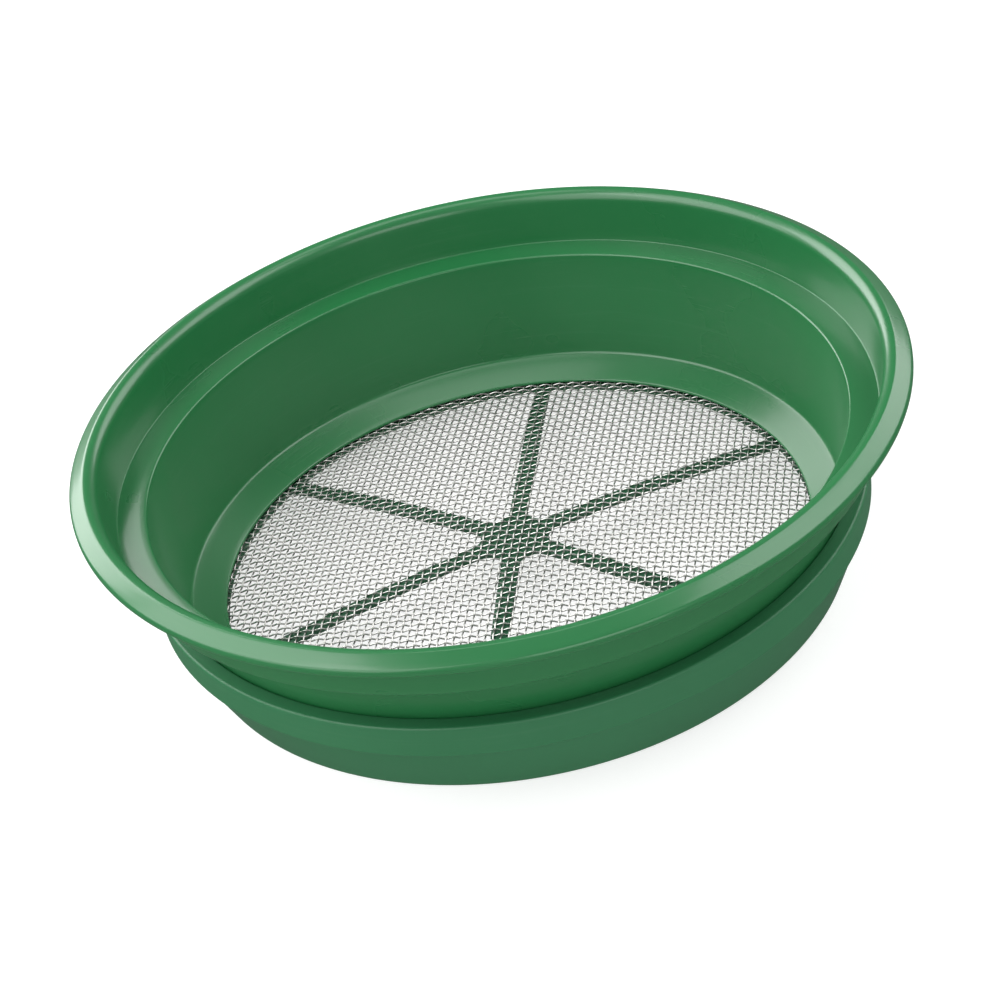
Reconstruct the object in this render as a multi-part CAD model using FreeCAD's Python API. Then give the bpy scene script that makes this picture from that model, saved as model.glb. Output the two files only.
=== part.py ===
import FreeCAD, Part
import math
import os

# A stackable gold classifier: a sifting pan that stands on a bucket or on the next pan.
# Millimetres. The origin is the centre of the bottom edge of the base ring, and +Z is up.

# Overall sizes
RIM_R = 168.3            # outer radius of the rim, 13 1/4 in across
WALL = 2.5               # wall of both green mouldings
TINY = 0.1               # play between parts that are pushed together

# Rim: a rounded crown, a flange that slopes outward and down from it, and a bead at its edge
CROWN_Z = 86.4
CROWN_R = 162.2          # where the crown's level would meet the slope of the flange
CROWN_BEND = 1.5         # rounding of the crown on its outer side
CROWN_ROUND = 5.0        # and on its inner side
RIM_INNER_R = 157.4      # inner wall, carried up to the crown's level
BEAD_TOP_Z = 82.75
BEAD_LOW_Z = 79.4
BEAD_IN_R = 166.2        # inner side of the bead, under the flange
BEAD_ROUND = 1.8
FLANGE_LOW_Z = 84.0      # underside of the flange at the wall
FLANGE_EDGE_Z = 80.9     # underside of the flange at the bead

# Bowl: short upper wall, flat step for the next pan, tapering main wall, clamping lip
STEP_Z = 64.1
STEP_OUT_R = 153.6
STEP_IN_R = 141.7
LIP_OUT_R = 134.5
LIP_OUT_Z = 17.6
LIP_IN_R = 121.0
LIP_IN_Z = 12.1
LIP_UNDER_Z = 11.0
LIP_FLAT_R = 125.0       # outer edge of the lip's flat underside, which holds the mesh
LIP_ROUND = 0.4
CORNER = 1.2             # rounding of the moulded corners

# Base ring: shoulder on the bowl's wall, proud band, tapering skirt down to the seat
SHOULDER_Z = 38.6
BAND_TOP_R = 147.2
BAND_LOW_R = 146.3
BAND_LOW_Z = 24.6
SKIRT_TOP_R = 145.0      # the skirt's outer radius under the band, which stands proud of it
BAND_UNDERCUT = 0.3      # how far the ledge under the band slopes down
BAND_ROUND = 0.8
BAND_LOW_ROUND = 0.5
SEAT_R = 134.6           # outer radius of the bottom edge
SEAT_ROUND = 0.8
SHELF_IN_R = 125.0       # shelf that carries the mesh support
SHELF_TOP_Z = 6.3
SHELF_THICK = 2.0
SHELF_ROUND = 0.4

# Woven mesh: 8 wires to the inch
WIRE_D = 0.7
PITCH = 25.4 / 8.0
MESH_R = 124.0
MESH_EDGE_Z = 10.3       # middle of the mesh where it enters the lip
MESH_RISE = 6.6          # height of the dome at the centre
WARP_TURN = 75.0         # direction of the warp wires about +Z, degrees

# Mesh support: a flat ring and six spokes that follow the dome
SUPPORT_OUT_R = 133.0
SUPPORT_IN_R = 121.0
SUPPORT_THICK = 2.8
SUPPORT_ROUND = 0.5
SPOKES = 6
SPOKE_TURN = 17.0        # direction of the first spoke, degrees
SPOKE_THICK = 2.0
SPOKE_W_HUB = 7.6
SPOKE_W_RING = 6.8
SPOKE_OVERLAP = 1.0      # how far a spoke runs into the ring
HUB_R = 13.0

DOME_R = (LIP_IN_R ** 2 + MESH_RISE ** 2) / (2.0 * MESH_RISE)
DOME_CENTRE_Z = MESH_EDGE_Z + MESH_RISE - DOME_R


def vec(r, z):
    return FreeCAD.Vector(r, 0.0, z)


def rounded_outline(corners):
    """Closed wire in the XZ plane. Each corner is (r, z, rounding), and a rounding of 0 stays sharp."""
    starts, ends, arcs = [], [], []
    count = len(corners)
    for i, (r, z, rounding) in enumerate(corners):
        here = vec(r, z)
        if rounding == 0.0:
            starts.append(here)
            ends.append(here)
            arcs.append(None)
            continue
        before = vec(*corners[i - 1][:2]) - here
        after = vec(*corners[(i + 1) % count][:2]) - here
        before.normalize()
        after.normalize()
        half = before.getAngle(after) / 2.0
        reach = rounding / math.tan(half)
        middle = before + after
        middle.normalize()
        top = here + middle * (rounding / math.sin(half) - rounding)
        starts.append(here + before * reach)
        ends.append(here + after * reach)
        arcs.append(Part.Arc(starts[-1], top, ends[-1]).toShape())
    edges = []
    for i in range(count):
        if arcs[i] is not None:
            edges.append(arcs[i])
        edges.append(Part.LineSegment(ends[i], starts[(i + 1) % count]).toShape())
    return Part.Wire(edges)


def turned(corners):
    """Solid of revolution about +Z from an outline of rounded corners."""
    face = Part.Face(rounded_outline(corners))
    solid = face.revolve(FreeCAD.Vector(0, 0, 0), FreeCAD.Vector(0, 0, 1), 360.0)
    if solid.Volume < 0.0:
        solid.reverse()
    return solid


def main_wall_r(z):
    """Inner radius of the bowl's main wall at height z."""
    return LIP_OUT_R + (STEP_IN_R - LIP_OUT_R) * (z - LIP_OUT_Z) / (STEP_Z - LIP_OUT_Z)


def outer_wall_r(z):
    """Outer radius of the bowl's main wall at height z: the inner outline, moved out and down."""
    return main_wall_r(z + WALL) + WALL


def skirt_r(z):
    """Outer radius of the base ring's skirt at height z."""
    return SEAT_R + (SKIRT_TOP_R - SEAT_R) * z / BAND_LOW_Z


def bowl():
    """Upper moulding: rim, upper wall, step, main wall and the lip that holds the mesh down."""
    return turned([
        (RIM_INNER_R, CROWN_Z, CROWN_ROUND),
        (STEP_OUT_R, STEP_Z, CORNER),
        (STEP_IN_R, STEP_Z, CORNER),
        (LIP_OUT_R, LIP_OUT_Z, CORNER),
        (LIP_IN_R, LIP_IN_Z, LIP_ROUND),
        (LIP_IN_R, LIP_UNDER_Z, 0.0),
        (LIP_FLAT_R, LIP_UNDER_Z, 0.0),
        (outer_wall_r(LIP_OUT_Z - WALL), LIP_OUT_Z - WALL, CORNER),
        (outer_wall_r(STEP_Z - WALL), STEP_Z - WALL, CORNER),
        (STEP_OUT_R + WALL, STEP_Z - WALL, CORNER),
        (RIM_INNER_R + WALL, FLANGE_LOW_Z, CORNER),
        (BEAD_IN_R, FLANGE_EDGE_Z, LIP_ROUND),
        (BEAD_IN_R, BEAD_LOW_Z, LIP_ROUND),
        (RIM_R, BEAD_LOW_Z, BEAD_ROUND),
        (RIM_R, BEAD_TOP_Z, BEAD_ROUND),
        (CROWN_R, CROWN_Z, CROWN_BEND),
    ])


def base_ring():
    """Lower moulding: shoulder, proud band, skirt and the shelf for the mesh support."""
    under_z = SHOULDER_Z - WALL
    shelf_low = SHELF_TOP_Z - SHELF_THICK
    return turned([
        (outer_wall_r(SHOULDER_Z) + TINY, SHOULDER_Z, 0.0),
        (BAND_TOP_R, SHOULDER_Z, BAND_ROUND),
        (BAND_LOW_R, BAND_LOW_Z, BAND_LOW_ROUND),
        (SKIRT_TOP_R, BAND_LOW_Z - BAND_UNDERCUT, 0.0),
        (SEAT_R, 0.0, SEAT_ROUND),
        (SEAT_R - WALL, 0.0, SEAT_ROUND),
        (skirt_r(shelf_low) - WALL, shelf_low, 0.0),
        (SHELF_IN_R, shelf_low, SHELF_ROUND),
        (SHELF_IN_R, SHELF_TOP_Z, 0.0),
        (skirt_r(SHELF_TOP_Z) - WALL, SHELF_TOP_Z, 0.0),
        (SKIRT_TOP_R - WALL, BAND_LOW_Z, 0.0),
        (BAND_TOP_R - WALL, under_z, BAND_ROUND),
        (outer_wall_r(under_z) + TINY, under_z, 0.0),
    ])


def dome_shell(top_drop, thick):
    """Thick cap whose top lies top_drop under the middle of the mesh."""
    centre = FreeCAD.Vector(0, 0, DOME_CENTRE_Z)
    outer = DOME_R - top_drop
    low = DOME_CENTRE_Z + math.sqrt((outer - thick) ** 2 - SUPPORT_OUT_R ** 2) - thick
    block = Part.makeCylinder(SUPPORT_OUT_R, CROWN_Z, FreeCAD.Vector(0, 0, low))
    ball = Part.makeSphere(outer, centre)
    core = Part.makeSphere(outer - thick, centre)
    return block.common(ball).cut(core)


def spoke(turn):
    """Tall tapering bar from the centre out to the ring, cut to the dome later."""
    reach = SUPPORT_IN_R + SPOKE_OVERLAP
    points = [
        FreeCAD.Vector(0.0, -SPOKE_W_HUB / 2.0, 0.0),
        FreeCAD.Vector(reach, -SPOKE_W_RING / 2.0, 0.0),
        FreeCAD.Vector(reach, SPOKE_W_RING / 2.0, 0.0),
        FreeCAD.Vector(0.0, SPOKE_W_HUB / 2.0, 0.0),
    ]
    bar = Part.Face(Part.makePolygon(points + points[:1])).extrude(FreeCAD.Vector(0, 0, CROWN_Z))
    bar.rotate(FreeCAD.Vector(0, 0, 0), FreeCAD.Vector(0, 0, 1), turn)
    return bar


def mesh_support():
    """Ring on the shelf, hub and six spokes under the mesh, all one moulding."""
    star = Part.makeCylinder(HUB_R, CROWN_Z)
    for k in range(SPOKES):
        star = star.fuse(spoke(SPOKE_TURN + 360.0 / SPOKES * k))
    arms = dome_shell(WIRE_D, SPOKE_THICK).common(star)
    ring_top = SHELF_TOP_Z + SUPPORT_THICK
    ring = turned([
        (SUPPORT_IN_R, SHELF_TOP_Z, 0.0),
        (SUPPORT_IN_R, ring_top, SUPPORT_ROUND),
        (SUPPORT_OUT_R, ring_top, SUPPORT_ROUND),
        (SUPPORT_OUT_R, SHELF_TOP_Z, 0.0),
    ])
    return ring.fuse(arms).removeSplitter()


def wires(side):
    """One family of parallel wires on the dome, half a wire above or below its middle."""
    lie_r = DOME_R + side * WIRE_D / 2.0
    count = int((MESH_R - WIRE_D) / PITCH)
    family = []
    for k in range(-count, count + 1):
        offset = k * PITCH
        bend_r = math.sqrt(lie_r ** 2 - offset ** 2)
        half = math.degrees(math.asin(math.sqrt(MESH_R ** 2 - offset ** 2) / bend_r))
        wire = Part.makeTorus(bend_r, WIRE_D / 2.0, FreeCAD.Vector(0, 0, 0),
                              FreeCAD.Vector(0, 0, 1), 0.0, 360.0, 2.0 * half)
        wire.rotate(FreeCAD.Vector(0, 0, 0), FreeCAD.Vector(0, 0, 1), 90.0 - half)
        wire.rotate(FreeCAD.Vector(0, 0, 0), FreeCAD.Vector(1, 0, 0), 90.0)
        wire.translate(FreeCAD.Vector(0, offset, DOME_CENTRE_Z))
        family.append(wire)
    return family


def wire_family(side, turn):
    """All wires of one family, turned to their direction in the pan."""
    group = Part.makeCompound(wires(side))
    group.rotate(FreeCAD.Vector(0, 0, 0), FreeCAD.Vector(0, 0, 1), turn)
    return group


NODES = {
    "bowl": bowl,
    "base_ring": base_ring,
    "mesh_support": mesh_support,
    "warp_wires": lambda: wire_family(1, WARP_TURN),
    "weft_wires": lambda: wire_family(-1, WARP_TURN + 90.0),
}

os.makedirs("parts", exist_ok=True)
for name, make in NODES.items():
    shape = make()
    shape.exportStep("parts/" + name + ".step")
    box = shape.BoundBox
    print(name, len(shape.Solids), "solids", shape.isValid(), round(shape.Volume, 1),
          [round(v, 2) for v in (box.XMin, box.YMin, box.ZMin, box.XMax, box.YMax, box.ZMax)])
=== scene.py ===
import math

import bmesh
import bpy
from mathutils import Matrix, Vector


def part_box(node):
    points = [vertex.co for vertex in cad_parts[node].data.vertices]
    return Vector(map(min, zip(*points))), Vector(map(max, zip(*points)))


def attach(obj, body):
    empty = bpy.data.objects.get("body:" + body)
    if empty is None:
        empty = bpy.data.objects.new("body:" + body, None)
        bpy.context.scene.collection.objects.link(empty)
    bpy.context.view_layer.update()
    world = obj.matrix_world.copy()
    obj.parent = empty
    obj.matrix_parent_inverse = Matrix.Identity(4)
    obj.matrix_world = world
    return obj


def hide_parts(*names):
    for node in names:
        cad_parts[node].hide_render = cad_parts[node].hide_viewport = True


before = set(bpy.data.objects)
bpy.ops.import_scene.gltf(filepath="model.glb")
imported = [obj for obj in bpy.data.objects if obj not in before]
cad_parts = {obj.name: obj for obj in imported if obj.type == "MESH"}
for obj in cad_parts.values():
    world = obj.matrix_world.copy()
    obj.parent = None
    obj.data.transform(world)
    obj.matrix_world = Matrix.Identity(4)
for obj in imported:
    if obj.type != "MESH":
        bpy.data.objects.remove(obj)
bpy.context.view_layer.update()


# ---------------------------------------------------------------- base ring
# The lower moulding, injection moulded in green polypropylene. Its skirt tapers down to the seat
# that stands on a bucket or in the next pan, a proud band runs round its top, and a shelf inside
# it carries the mesh support. Its shoulder is pushed up the bowl's wall and fixed there.

WALL = 0.0025
SHOULDER_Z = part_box("base_ring")[1].z
SHOULDER_IN_R = 0.1408          # the shoulder's inner edge, against the bowl's wall
BAND_TOP_R = 0.1472
BAND_LOW_R = 0.1463
BAND_LOW_Z = 0.0246
BAND_LEDGE = 0.0003             # fall of the band's underside from its edge to the skirt
SKIRT_TOP_R = 0.1450            # the band stands proud of the skirt by a little over a millimetre
SEAT_R = 0.1346
FLARE_UNDER = 0.0012            # how much wider than the seat the skirt is under the shelf
FLARE_OVER = 0.0020             # and above it
SHELF_IN_R = 0.1250
SHELF_TOP_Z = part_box("mesh_support")[0].z
SHELF_THICK = 0.0020
SHARP = 0.0003                  # roundings of the moulded corners, from the smallest
CRISP = 0.0004
NEAT = 0.0005
EASED = 0.0006
FULL = 0.0008
BROAD = 0.0010
WIDE = 0.0012
BAND_ROUND = 0.0014
TURN_STEPS = 256                # faces round a turned piece
ROUND_STEPS = 6                 # faces across a rounded corner
LOOP_GAP = 0.0025               # most between two points of a straight stretch
MERGE = 1e-6                    # points closer than this become one
EVEN = 0.5                      # bevel profile of a circular arc
RING_COLOUR = (0.022, 0.150, 0.058)
RING_SHINE = 0.40
RING_GRAIN = 0.35
NO_COAT = 0.0


def finished(name, bm, material, slot, *nodes):
    """Makes a smooth piece from a bmesh, gives it its finish and lets it ride on the frame."""
    mesh = bpy.data.meshes.new(name)
    bm.to_mesh(mesh)
    bm.free()
    mesh.materials.append(material)
    mesh.shade_smooth()
    piece = bpy.data.objects.new(name, mesh)
    bpy.context.scene.collection.objects.link(piece)
    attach(piece, "root")
    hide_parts(*nodes)
    return piece


def turned(corners):
    """Body of revolution about Z from a closed outline of (radius, height, reach of the rounding)."""
    bm = bmesh.new()
    outline = [bm.verts.new((r, 0.0, z)) for r, z, reach in corners]
    bm.faces.new(outline)
    for vert, (r, z, reach) in zip(outline, corners):
        if reach:
            bmesh.ops.bevel(bm, geom=[vert], offset=reach, offset_type="OFFSET", affect="VERTICES",
                            segments=ROUND_STEPS, profile=EVEN, material=-1)
    for edge in bm.edges[:]:
        cuts = int(edge.calc_length() / LOOP_GAP)
        if cuts:
            bmesh.ops.subdivide_edges(bm, edges=[edge], cuts=cuts)
    bmesh.ops.delete(bm, geom=bm.faces[:], context="FACES_ONLY")
    bmesh.ops.spin(bm, geom=bm.verts[:] + bm.edges[:], cent=(0, 0, 0), axis=(0, 0, 1),
                   dvec=(0, 0, 0), angle=math.tau, steps=TURN_STEPS, use_merge=True)
    bmesh.ops.remove_doubles(bm, verts=bm.verts[:], dist=MERGE)
    bmesh.ops.recalc_face_normals(bm, faces=bm.faces[:])
    return bm


def new_material(name):
    """Empty material, with a function that adds one node and joins or sets its inputs.

    An input is named by its label, with _ for a space, or by its number, as in i0.
    """
    material = bpy.data.materials.new(name)
    material.use_nodes = True
    tree = material.node_tree
    tree.nodes.clear()

    def add(kind, settings=(), **inputs):
        made = tree.nodes.new("ShaderNode" + kind)
        for key, value in dict(settings).items():
            setattr(made, key, value)
        for key, value in inputs.items():
            by_number = key[0] == "i" and key[1:].isdigit()
            socket = made.inputs[int(key[1:]) if by_number else key.replace("_", " ")]
            if isinstance(value, bpy.types.NodeSocket):
                tree.links.new(value, socket)
            else:
                socket.default_value = value
        return made

    return material, add


SCUFF_COLOUR = (0.22, 0.42, 0.27, 1.0)
SCUFF_DULLS = 0.6               # how much rougher a scuff makes the surface
LATHE_RUN = 0.004               # stretches the lathe lines round the piece
GLOSSIER = 0.09                 # how far the clouding takes the roughness down
DULLER = 0.11                   # and up
COAT_ROUGH = 0.12
POLYPROPYLENE_IOR = 1.49


def green_plastic(name, colour, shine, grain, coat):
    """Moulded polypropylene: clouded colour, fine lathe lines from the mould, grain and scuffs."""
    material, add = new_material(name)
    place = add("TexCoord").outputs["Object"]
    split = add("SeparateXYZ", Vector=place)
    flat = add("CombineXYZ", X=split.outputs["X"], Y=split.outputs["Y"])
    radius = add("VectorMath", {"operation": "LENGTH"}, i0=flat.outputs[0]).outputs["Value"]
    around = add("Math", {"operation": "ARCTAN2"}, i0=split.outputs["Y"], i1=split.outputs["X"])
    along = add("Math", {"operation": "MULTIPLY"}, i0=around.outputs[0], i1=LATHE_RUN)
    polar = add("CombineXYZ", X=radius, Y=along.outputs[0], Z=split.outputs["Z"]).outputs[0]

    cloud = add("TexNoise", Vector=place, Scale=14.0, Detail=3.0, Roughness=0.5)
    lines = add("TexNoise", Vector=polar, Scale=900.0, Detail=2.0, Roughness=0.6)
    pores = add("TexNoise", Vector=place, Scale=2600.0, Detail=2.0, Roughness=0.5)
    waves = add("TexNoise", Vector=place, Scale=38.0, Detail=0.0)
    scuff = add("TexNoise", Vector=polar, Scale=420.0, Detail=6.0, Roughness=0.75)

    tone = add("MapRange", Value=cloud.outputs["Fac"], To_Min=0.90, To_Max=1.10)
    tint = add("HueSaturation", Value=tone.outputs[0], Color=(*colour, 1.0))
    worn = add("MapRange", Value=scuff.outputs["Fac"], From_Min=0.56, From_Max=0.80,
               To_Min=0.0, To_Max=0.06)
    pale = add("Mix", {"data_type": "RGBA"}, i0=worn.outputs[0], i6=tint.outputs[0],
               i7=SCUFF_COLOUR)
    dull = add("MapRange", Value=cloud.outputs["Fac"], To_Min=shine - GLOSSIER,
               To_Max=shine + DULLER)
    rough = add("Math", {"operation": "MULTIPLY_ADD"}, i0=worn.outputs[0], i1=SCUFF_DULLS,
                i2=dull.outputs[0])

    wavy = add("Bump", Strength=0.12, Distance=0.0006, Height=waves.outputs["Fac"])
    lathe = add("Bump", Strength=0.30, Distance=0.000012, Height=lines.outputs["Fac"],
                Normal=wavy.outputs[0])
    skin = add("Bump", Strength=grain, Distance=0.000014, Height=pores.outputs["Fac"],
               Normal=lathe.outputs[0])
    shader = add("BsdfPrincipled", Base_Color=pale.outputs[2], Roughness=rough.outputs[0],
                 IOR=POLYPROPYLENE_IOR, Normal=skin.outputs[0])
    shader.inputs["Coat Weight"].default_value = coat
    shader.inputs["Coat Roughness"].default_value = COAT_ROUGH
    add("OutputMaterial", Surface=shader.outputs[0])
    return material


ring = turned([
    (SHOULDER_IN_R, SHOULDER_Z, EASED),
    (BAND_TOP_R, SHOULDER_Z, BAND_ROUND),
    (BAND_LOW_R, BAND_LOW_Z, EASED),
    (SKIRT_TOP_R, BAND_LOW_Z - BAND_LEDGE, CRISP),
    (SEAT_R, 0.0, WIDE),
    (SEAT_R - WALL, 0.0, FULL),
    (SEAT_R + FLARE_UNDER - WALL, SHELF_TOP_Z - SHELF_THICK, CRISP),
    (SHELF_IN_R, SHELF_TOP_Z - SHELF_THICK, EASED),
    (SHELF_IN_R, SHELF_TOP_Z, EASED),
    (SEAT_R + FLARE_OVER - WALL, SHELF_TOP_Z, CRISP),
    (SKIRT_TOP_R - WALL, BAND_LOW_Z, EASED),
    (BAND_TOP_R - WALL, SHOULDER_Z - WALL, FULL),
    (SHOULDER_IN_R, SHOULDER_Z - WALL, SHARP),
])
green_ring = green_plastic("green_ring", RING_COLOUR, RING_SHINE, RING_GRAIN, NO_COAT)
finished("base_ring_skirt", ring, green_ring, "green_plastic_base", "base_ring")


# ------------------------------------------------------------- mesh support
# A second green moulding: a flat ring that lies on the shelf, with a hub and six spokes that rise
# in a shallow dome and hold the woven mesh up. The mesh lies on it and is clamped at its edge.

LIP_IN_R = 0.1210               # inner edge of the bowl's lip, where the mesh comes into sight
MESH_EDGE_Z = 0.0103            # middle of the mesh at that radius
MESH_RISE = 0.0066              # height of the dome at its centre
WIRE_D = 0.0007
SUPPORT_OUT_R = 0.1330
SUPPORT_THICK = 0.0028
HUB_R = 0.0146                  # corners of the twelve-sided hub
SPOKES = 6
SPOKE_TURN = math.radians(17.0)
SPOKE_THICK = 0.0020
SPOKE_W_RING = 0.0068
SPOKE_CUTS = 23
SPOKE_OVERLAP = 0.0015          # how far a spoke runs into the ring
CROTCH_ROUND = 0.0028           # fillet where two spokes meet at the hub
CROTCH_STEPS = 4
CROTCH_NEAR = 0.0004            # how close to the hub's corner radius a crotch edge stands
RIM_ROUND_STEPS = 2
SHARP_ANGLE = 1.0               # radians between faces from which an edge is rounded
SUPPORT_COLOUR = (0.012, 0.085, 0.036)
SUPPORT_SHINE = 0.42
SUPPORT_GRAIN = 0.35
DOME_R = (LIP_IN_R ** 2 + MESH_RISE ** 2) / (2.0 * MESH_RISE)


def dome_z(x, y):
    """Height of the middle of the mesh above a point of the pan's floor."""
    return MESH_EDGE_Z + MESH_RISE - DOME_R + math.sqrt(DOME_R ** 2 - x ** 2 - y ** 2)


def bearing(edge):
    """Direction from the pan's axis to the middle of an edge."""
    middle = edge.verts[0].co + edge.verts[1].co
    return math.atan2(middle.y, middle.x)


star = bmesh.new()
turn = Matrix.Rotation(SPOKE_TURN - math.pi / (2 * SPOKES), 4, "Z")
bmesh.ops.create_circle(star, cap_ends=True, segments=2 * SPOKES, radius=HUB_R, matrix=turn)
hub_edges = sorted(star.edges, key=bearing)
at_spoke = min(range(len(hub_edges)),
               key=lambda i: abs(math.remainder(bearing(hub_edges[i]) - SPOKE_TURN, math.tau)))
arms = []
for edge in hub_edges[at_spoke % 2::2]:
    out = (edge.verts[0].co + edge.verts[1].co).normalized()
    side = Vector((-out.y, out.x, 0.0))
    made = bmesh.ops.extrude_edge_only(star, edges=[edge])["geom"]
    ends = [v for v in made if isinstance(v, bmesh.types.BMVert)]
    for vert in ends:
        sign = 1.0 if vert.co.dot(side) > 0.0 else -1.0
        vert.co = out * (LIP_IN_R + SPOKE_OVERLAP) + side * (sign * SPOKE_W_RING / 2.0)
    arms += [e for v in ends for e in v.link_edges if not set(e.verts) <= set(ends)]
bmesh.ops.subdivide_edges(star, edges=arms, cuts=SPOKE_CUTS, use_grid_fill=True)
for vert in star.verts:
    vert.co.z = dome_z(vert.co.x, vert.co.y) - WIRE_D
lower = bmesh.ops.extrude_face_region(star, geom=star.faces[:])["geom"]
bmesh.ops.translate(star, verts=[v for v in lower if isinstance(v, bmesh.types.BMVert)],
                    vec=(0.0, 0.0, -SPOKE_THICK))
bmesh.ops.recalc_face_normals(star, faces=star.faces[:])
crotches = [e for e in star.edges if abs(e.verts[0].co.z - e.verts[1].co.z) > SPOKE_THICK / 2.0
            and abs(e.verts[0].co.xy.length - HUB_R) < CROTCH_NEAR]
bmesh.ops.bevel(star, geom=crotches, offset=CROTCH_ROUND, offset_type="OFFSET", affect="EDGES",
                segments=CROTCH_STEPS, profile=EVEN, material=-1)
rims = [e for e in star.edges if e.is_manifold and e.calc_face_angle() > SHARP_ANGLE]
bmesh.ops.bevel(star, geom=rims, offset=CRISP, offset_type="OFFSET", affect="EDGES",
                segments=RIM_ROUND_STEPS, profile=EVEN, material=-1)

support_ring = turned([
    (LIP_IN_R, SHELF_TOP_Z, NEAT),
    (LIP_IN_R, SHELF_TOP_Z + SUPPORT_THICK, EASED),
    (SUPPORT_OUT_R, SHELF_TOP_Z + SUPPORT_THICK, EASED),
    (SUPPORT_OUT_R, SHELF_TOP_Z, NEAT),
])
green_support = green_plastic("green_support", SUPPORT_COLOUR, SUPPORT_SHINE, SUPPORT_GRAIN, NO_COAT)
finished("support_spokes", star, green_support, "green_plastic_support", "mesh_support")
finished("support_ring", support_ring, green_support, "green_plastic_support", "mesh_support")


# --------------------------------------------------------------- woven mesh
# Stainless wire, 0.7 mm thick, in a plain weave of eight wires to the inch. Both families are
# crimped, so each wire goes over and under the ones that cross it. The sheet is pressed into a
# shallow dome and its cut edge is held between the support's ring and the bowl's lip.

INCH = 0.0254
WIRES_PER_INCH = 8
PITCH = INCH / WIRES_PER_INCH
MESH_R = 0.1240
WARP_TURN = math.radians(75.0)
CRIMP_STEPS = 6                 # points of a wire from one crossing to the next
PATCH_LOW = 0.3                 # range of the noise over which the steel goes from dull to bright
PATCH_HIGH = 0.7
STEEL_DULL = (0.46, 0.455, 0.44, 1.0)
STEEL_BRIGHT = (0.66, 0.65, 0.625, 1.0)


def steel_wire():
    """Drawn stainless wire: bright, with dull patches and fine marks from the die."""
    material, add = new_material("stainless_wire")
    place = add("TexCoord").outputs["Object"]
    patch = add("TexNoise", Vector=place, Scale=260.0, Detail=3.0, Roughness=0.6)
    marks = add("TexNoise", Vector=place, Scale=5200.0, Detail=2.0, Roughness=0.6)
    tone = add("ValToRGB", Fac=patch.outputs["Fac"])
    tone.color_ramp.elements[0].position = PATCH_LOW
    tone.color_ramp.elements[0].color = STEEL_DULL
    tone.color_ramp.elements[1].position = PATCH_HIGH
    tone.color_ramp.elements[1].color = STEEL_BRIGHT
    rough = add("MapRange", Value=patch.outputs["Fac"], From_Min=PATCH_LOW, From_Max=PATCH_HIGH,
                To_Min=0.20, To_Max=0.32)
    drawn = add("Bump", Strength=0.25, Distance=0.00001, Height=marks.outputs["Fac"])
    shader = add("BsdfPrincipled", Base_Color=tone.outputs[0], Roughness=rough.outputs[0],
                 Metallic=1.0, Normal=drawn.outputs[0])
    add("OutputMaterial", Surface=shader.outputs[0])
    return material


def woven_wires(name, node, turn, side, first):
    """Every second wire of one family, bent over and under its neighbours on the dome."""
    curve = bpy.data.curves.new(name, "CURVE")
    curve.dimensions = "3D"
    curve.bevel_depth = WIRE_D / 2.0
    curve.bevel_resolution = 1
    curve.use_fill_caps = True
    run = Vector((math.cos(turn), math.sin(turn)))
    across = Vector((-run.y, run.x))
    count = int((MESH_R - WIRE_D) / PITCH)
    for k in range(first - count, count + 1, 2):
        offset = k * PITCH
        steps = int(math.sqrt(MESH_R ** 2 - offset ** 2) / PITCH * CRIMP_STEPS)
        spline = curve.splines.new("POLY")
        spline.points.add(2 * steps)
        for i, point in enumerate(spline.points):
            crossings = (i - steps) / CRIMP_STEPS
            place = run * (crossings * PITCH) + across * offset
            lift = side * WIRE_D / 2.0 * math.cos(math.pi * (crossings + k))
            point.co = (place.x, place.y, dome_z(place.x, place.y) + lift, 1.0)
    shaped = bpy.data.objects.new(name + "_line", curve)
    bm = bmesh.new()
    bm.from_mesh(bpy.data.meshes.new_from_object(shaped))
    bpy.data.objects.remove(shaped)
    bmesh.ops.recalc_face_normals(bm, faces=bm.faces[:])
    finished(name, bm, steel, "steel_wire", node)


steel = steel_wire()
WEFT_TURN = WARP_TURN + math.pi / 2
woven_wires("weft_wires_even", "weft_wires", WEFT_TURN, -1, 0)
woven_wires("weft_wires_odd", "weft_wires", WEFT_TURN, -1, 1)
woven_wires("warp_wires_even", "warp_wires", WARP_TURN, 1, 0)
woven_wires("warp_wires_odd", "warp_wires", WARP_TURN, 1, 1)


# --------------------------------------------------------------------- bowl
# The upper moulding, glossier than the ring: a sloping rim with a round bead at its edge, a short
# upper wall, the flat step that the next pan sits on, the tapering main wall, and the lip at its
# foot that presses on the edge of the mesh.

RIM_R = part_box("bowl")[1].x
CROWN_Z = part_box("bowl")[1].z
LIP_UNDER_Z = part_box("bowl")[0].z
RIM_INNER_R = 0.1574
CROWN_R = 0.1622                # where the crown's level would meet the slope of the flange
BEAD_TOP_Z = 0.08275
BEAD_LOW_Z = 0.0794
BEAD_IN_R = 0.1662
FLANGE_LOW_Z = 0.0840           # underside of the flange at the wall
FLANGE_EDGE_Z = 0.0809          # and at the bead
STEP_Z = 0.0641
STEP_OUT_R = 0.1536
STEP_IN_R = 0.1417
LIP_OUT_R = 0.1345
LIP_OUT_Z = 0.0176
LIP_IN_Z = 0.0121
LIP_FOOT = 0.0040               # width of the lip's flat underside
INNER_ROUND = 0.0042            # reach of the rounding from the wall to the crown
LIP_TOP_ROUND = 0.0009
LIP_BACK_ROUND = 0.0016
BEAD_LOW_ROUND = 0.0017
BEAD_TOP_ROUND = 0.0011
BOWL_COLOUR = (0.015, 0.142, 0.043)
BOWL_SHINE = 0.28
BOWL_GRAIN = 0.20
BOWL_COAT = 0.25

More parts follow.
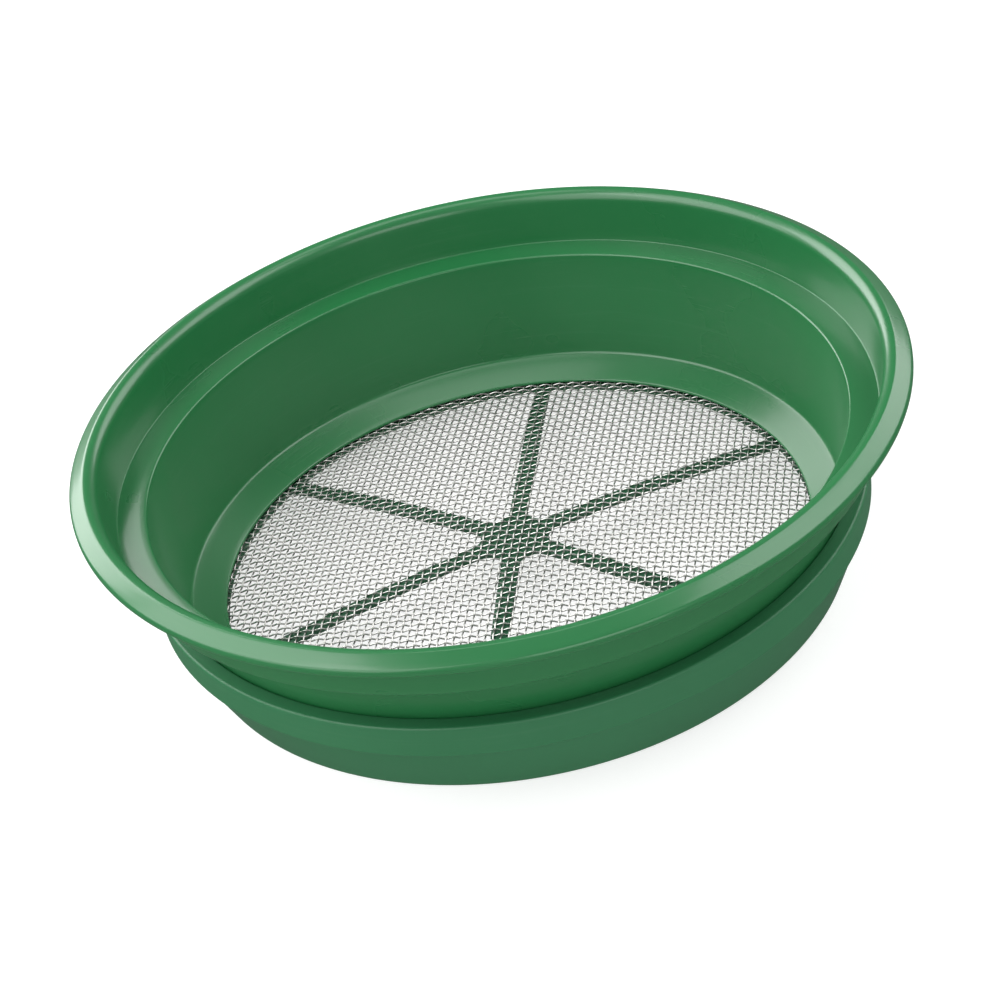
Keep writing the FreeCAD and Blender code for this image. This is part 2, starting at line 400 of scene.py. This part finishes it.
bowl = turned([
    (RIM_INNER_R, CROWN_Z, INNER_ROUND),
    (STEP_OUT_R, STEP_Z, CRISP),
    (STEP_IN_R, STEP_Z, FULL),
    (LIP_OUT_R, LIP_OUT_Z, LIP_TOP_ROUND),
    (LIP_IN_R, LIP_IN_Z, NEAT),
    (LIP_IN_R, LIP_UNDER_Z, SHARP),
    (LIP_IN_R + LIP_FOOT, LIP_UNDER_Z, BROAD),
    (LIP_OUT_R + WALL, LIP_OUT_Z - WALL, LIP_BACK_ROUND),
    (STEP_IN_R + WALL, STEP_Z - WALL, BROAD),
    (STEP_OUT_R + WALL, STEP_Z - WALL, WIDE),
    (RIM_INNER_R + WALL, FLANGE_LOW_Z, WIDE),
    (BEAD_IN_R, FLANGE_EDGE_Z, CRISP),
    (BEAD_IN_R, BEAD_LOW_Z, SHARP),
    (RIM_R, BEAD_LOW_Z, BEAD_LOW_ROUND),
    (RIM_R, BEAD_TOP_Z, BEAD_TOP_ROUND),
    (CROWN_R, CROWN_Z, CRISP),
])
green_bowl = green_plastic("green_bowl", BOWL_COLOUR, BOWL_SHINE, BOWL_GRAIN, BOWL_COAT)
finished("bowl_shell", bowl, green_bowl, "green_plastic_bowl", "bowl")


# ----------------------------------------------------- floor, light, camera
# The pan stands on a plain white sheet under large soft lamps.

FLOOR_HALF = 2.5
FLOOR_GLOW = 0.70               # the sheet is lit from below as well, which takes its shadows away
LOOK_AT = Vector((0.0, 0.0, 0.045))
WHITE = (1.0, 1.0, 1.0, 1.0)
PAPER_ROUGH = 0.8


def soft_lamp(name, place, width, height, power):
    """Rectangular soft box that faces the pan."""
    lamp = bpy.data.lights.new(name, "AREA")
    lamp.shape = "RECTANGLE"
    lamp.size = width
    lamp.size_y = height
    lamp.energy = power
    box = bpy.data.objects.new(name, lamp)
    box.location = place
    box.rotation_euler = (LOOK_AT - Vector(place)).to_track_quat("-Z", "Y").to_euler()
    bpy.context.scene.collection.objects.link(box)


sheet = bmesh.new()
bmesh.ops.create_grid(sheet, x_segments=1, y_segments=1, size=FLOOR_HALF)
floor_mesh = bpy.data.meshes.new("floor")
sheet.to_mesh(floor_mesh)
sheet.free()
paper, add = new_material("white_paper")
paper.cycles.emission_sampling = "NONE"
fibre = add("TexNoise", Vector=add("TexCoord").outputs["Object"], Scale=400.0)
shade = add("MapRange", Value=fibre.outputs["Fac"], To_Min=0.38, To_Max=0.42)
white = add("BsdfPrincipled", Base_Color=shade.outputs[0], Roughness=PAPER_ROUGH,
            Emission_Color=WHITE, Emission_Strength=FLOOR_GLOW)
add("OutputMaterial", Surface=white.outputs[0])
floor_mesh.materials.append(paper)
floor = bpy.data.objects.new("floor", floor_mesh)
bpy.context.scene.collection.objects.link(floor)
floor.visible_glossy = False

LAMPS = (                       # name, place, width, height, power
    ("lamp_back_left", (-1.05, 1.45, 0.88), 1.4, 1.3, 30.0),
    ("lamp_left", (-1.48, 0.13, 1.38), 1.3, 1.8, 27.0),
    ("lamp_front_left", (-1.25, -0.98, 1.35), 1.3, 1.9, 19.0),
    ("lamp_overhead", (0.1, 0.40, 2.0), 1.1, 0.7, 6.0),
    ("lamp_back_right", (1.32, 1.10, 1.02), 1.2, 1.1, 14.0),
    ("lamp_right", (1.40, -0.05, 1.48), 1.1, 1.5, 19.0),
    ("lamp_front", (0.5, -2.0, 0.9), 1.3, 1.0, 11.0),
)
for lamp_values in LAMPS:
    soft_lamp(*lamp_values)

WORLD_BACK = 0.16               # brightness of the dim side of the room, behind the pan
WORLD_FRONT = 0.25              # and of its pale side
FADE_FROM = -0.6                # Y of the direction at which the pale side starts to fade
FADE_TO = 0.5                   # and at which it has reached the dim one
world = bpy.data.worlds.new("studio")
world.use_nodes = True
room = world.node_tree
facing = room.nodes.new("ShaderNodeSeparateXYZ")
room.links.new(room.nodes.new("ShaderNodeTexCoord").outputs["Generated"], facing.inputs[0])
fade = room.nodes.new("ShaderNodeMapRange")
fade.interpolation_type = "SMOOTHSTEP"
room.links.new(facing.outputs["Y"], fade.inputs["Value"])
for socket, value in zip(fade.inputs[1:5], (FADE_FROM, FADE_TO, WORLD_FRONT, WORLD_BACK)):
    socket.default_value = value
room.links.new(fade.outputs[0], room.nodes["Background"].inputs["Strength"])
room.nodes["Background"].inputs["Color"].default_value = WHITE
bpy.context.scene.world = world
bpy.context.scene.view_settings.view_transform = "Standard"

CAMERA_RIGHT = Vector((0.97623, -0.12167, -0.17935))
CAMERA_UP = Vector((0.21672, 0.54806, 0.80788))
CAMERA_PLACE = Vector((-0.0025, -0.9374, 0.6710))
CAMERA_LENS = 100.8             # millimetres, as is the sensor's width
CAMERA_SENSOR = 36.0
camera = bpy.data.cameras.new("camera")
camera.lens = CAMERA_LENS
camera.sensor_width = CAMERA_SENSOR
eye = bpy.data.objects.new("camera", camera)
axes = Matrix((CAMERA_RIGHT, CAMERA_UP, CAMERA_RIGHT.cross(CAMERA_UP))).transposed()
eye.matrix_world = Matrix.Translation(CAMERA_PLACE) @ axes.to_4x4()
bpy.context.scene.collection.objects.link(eye)
bpy.context.scene.camera = eye
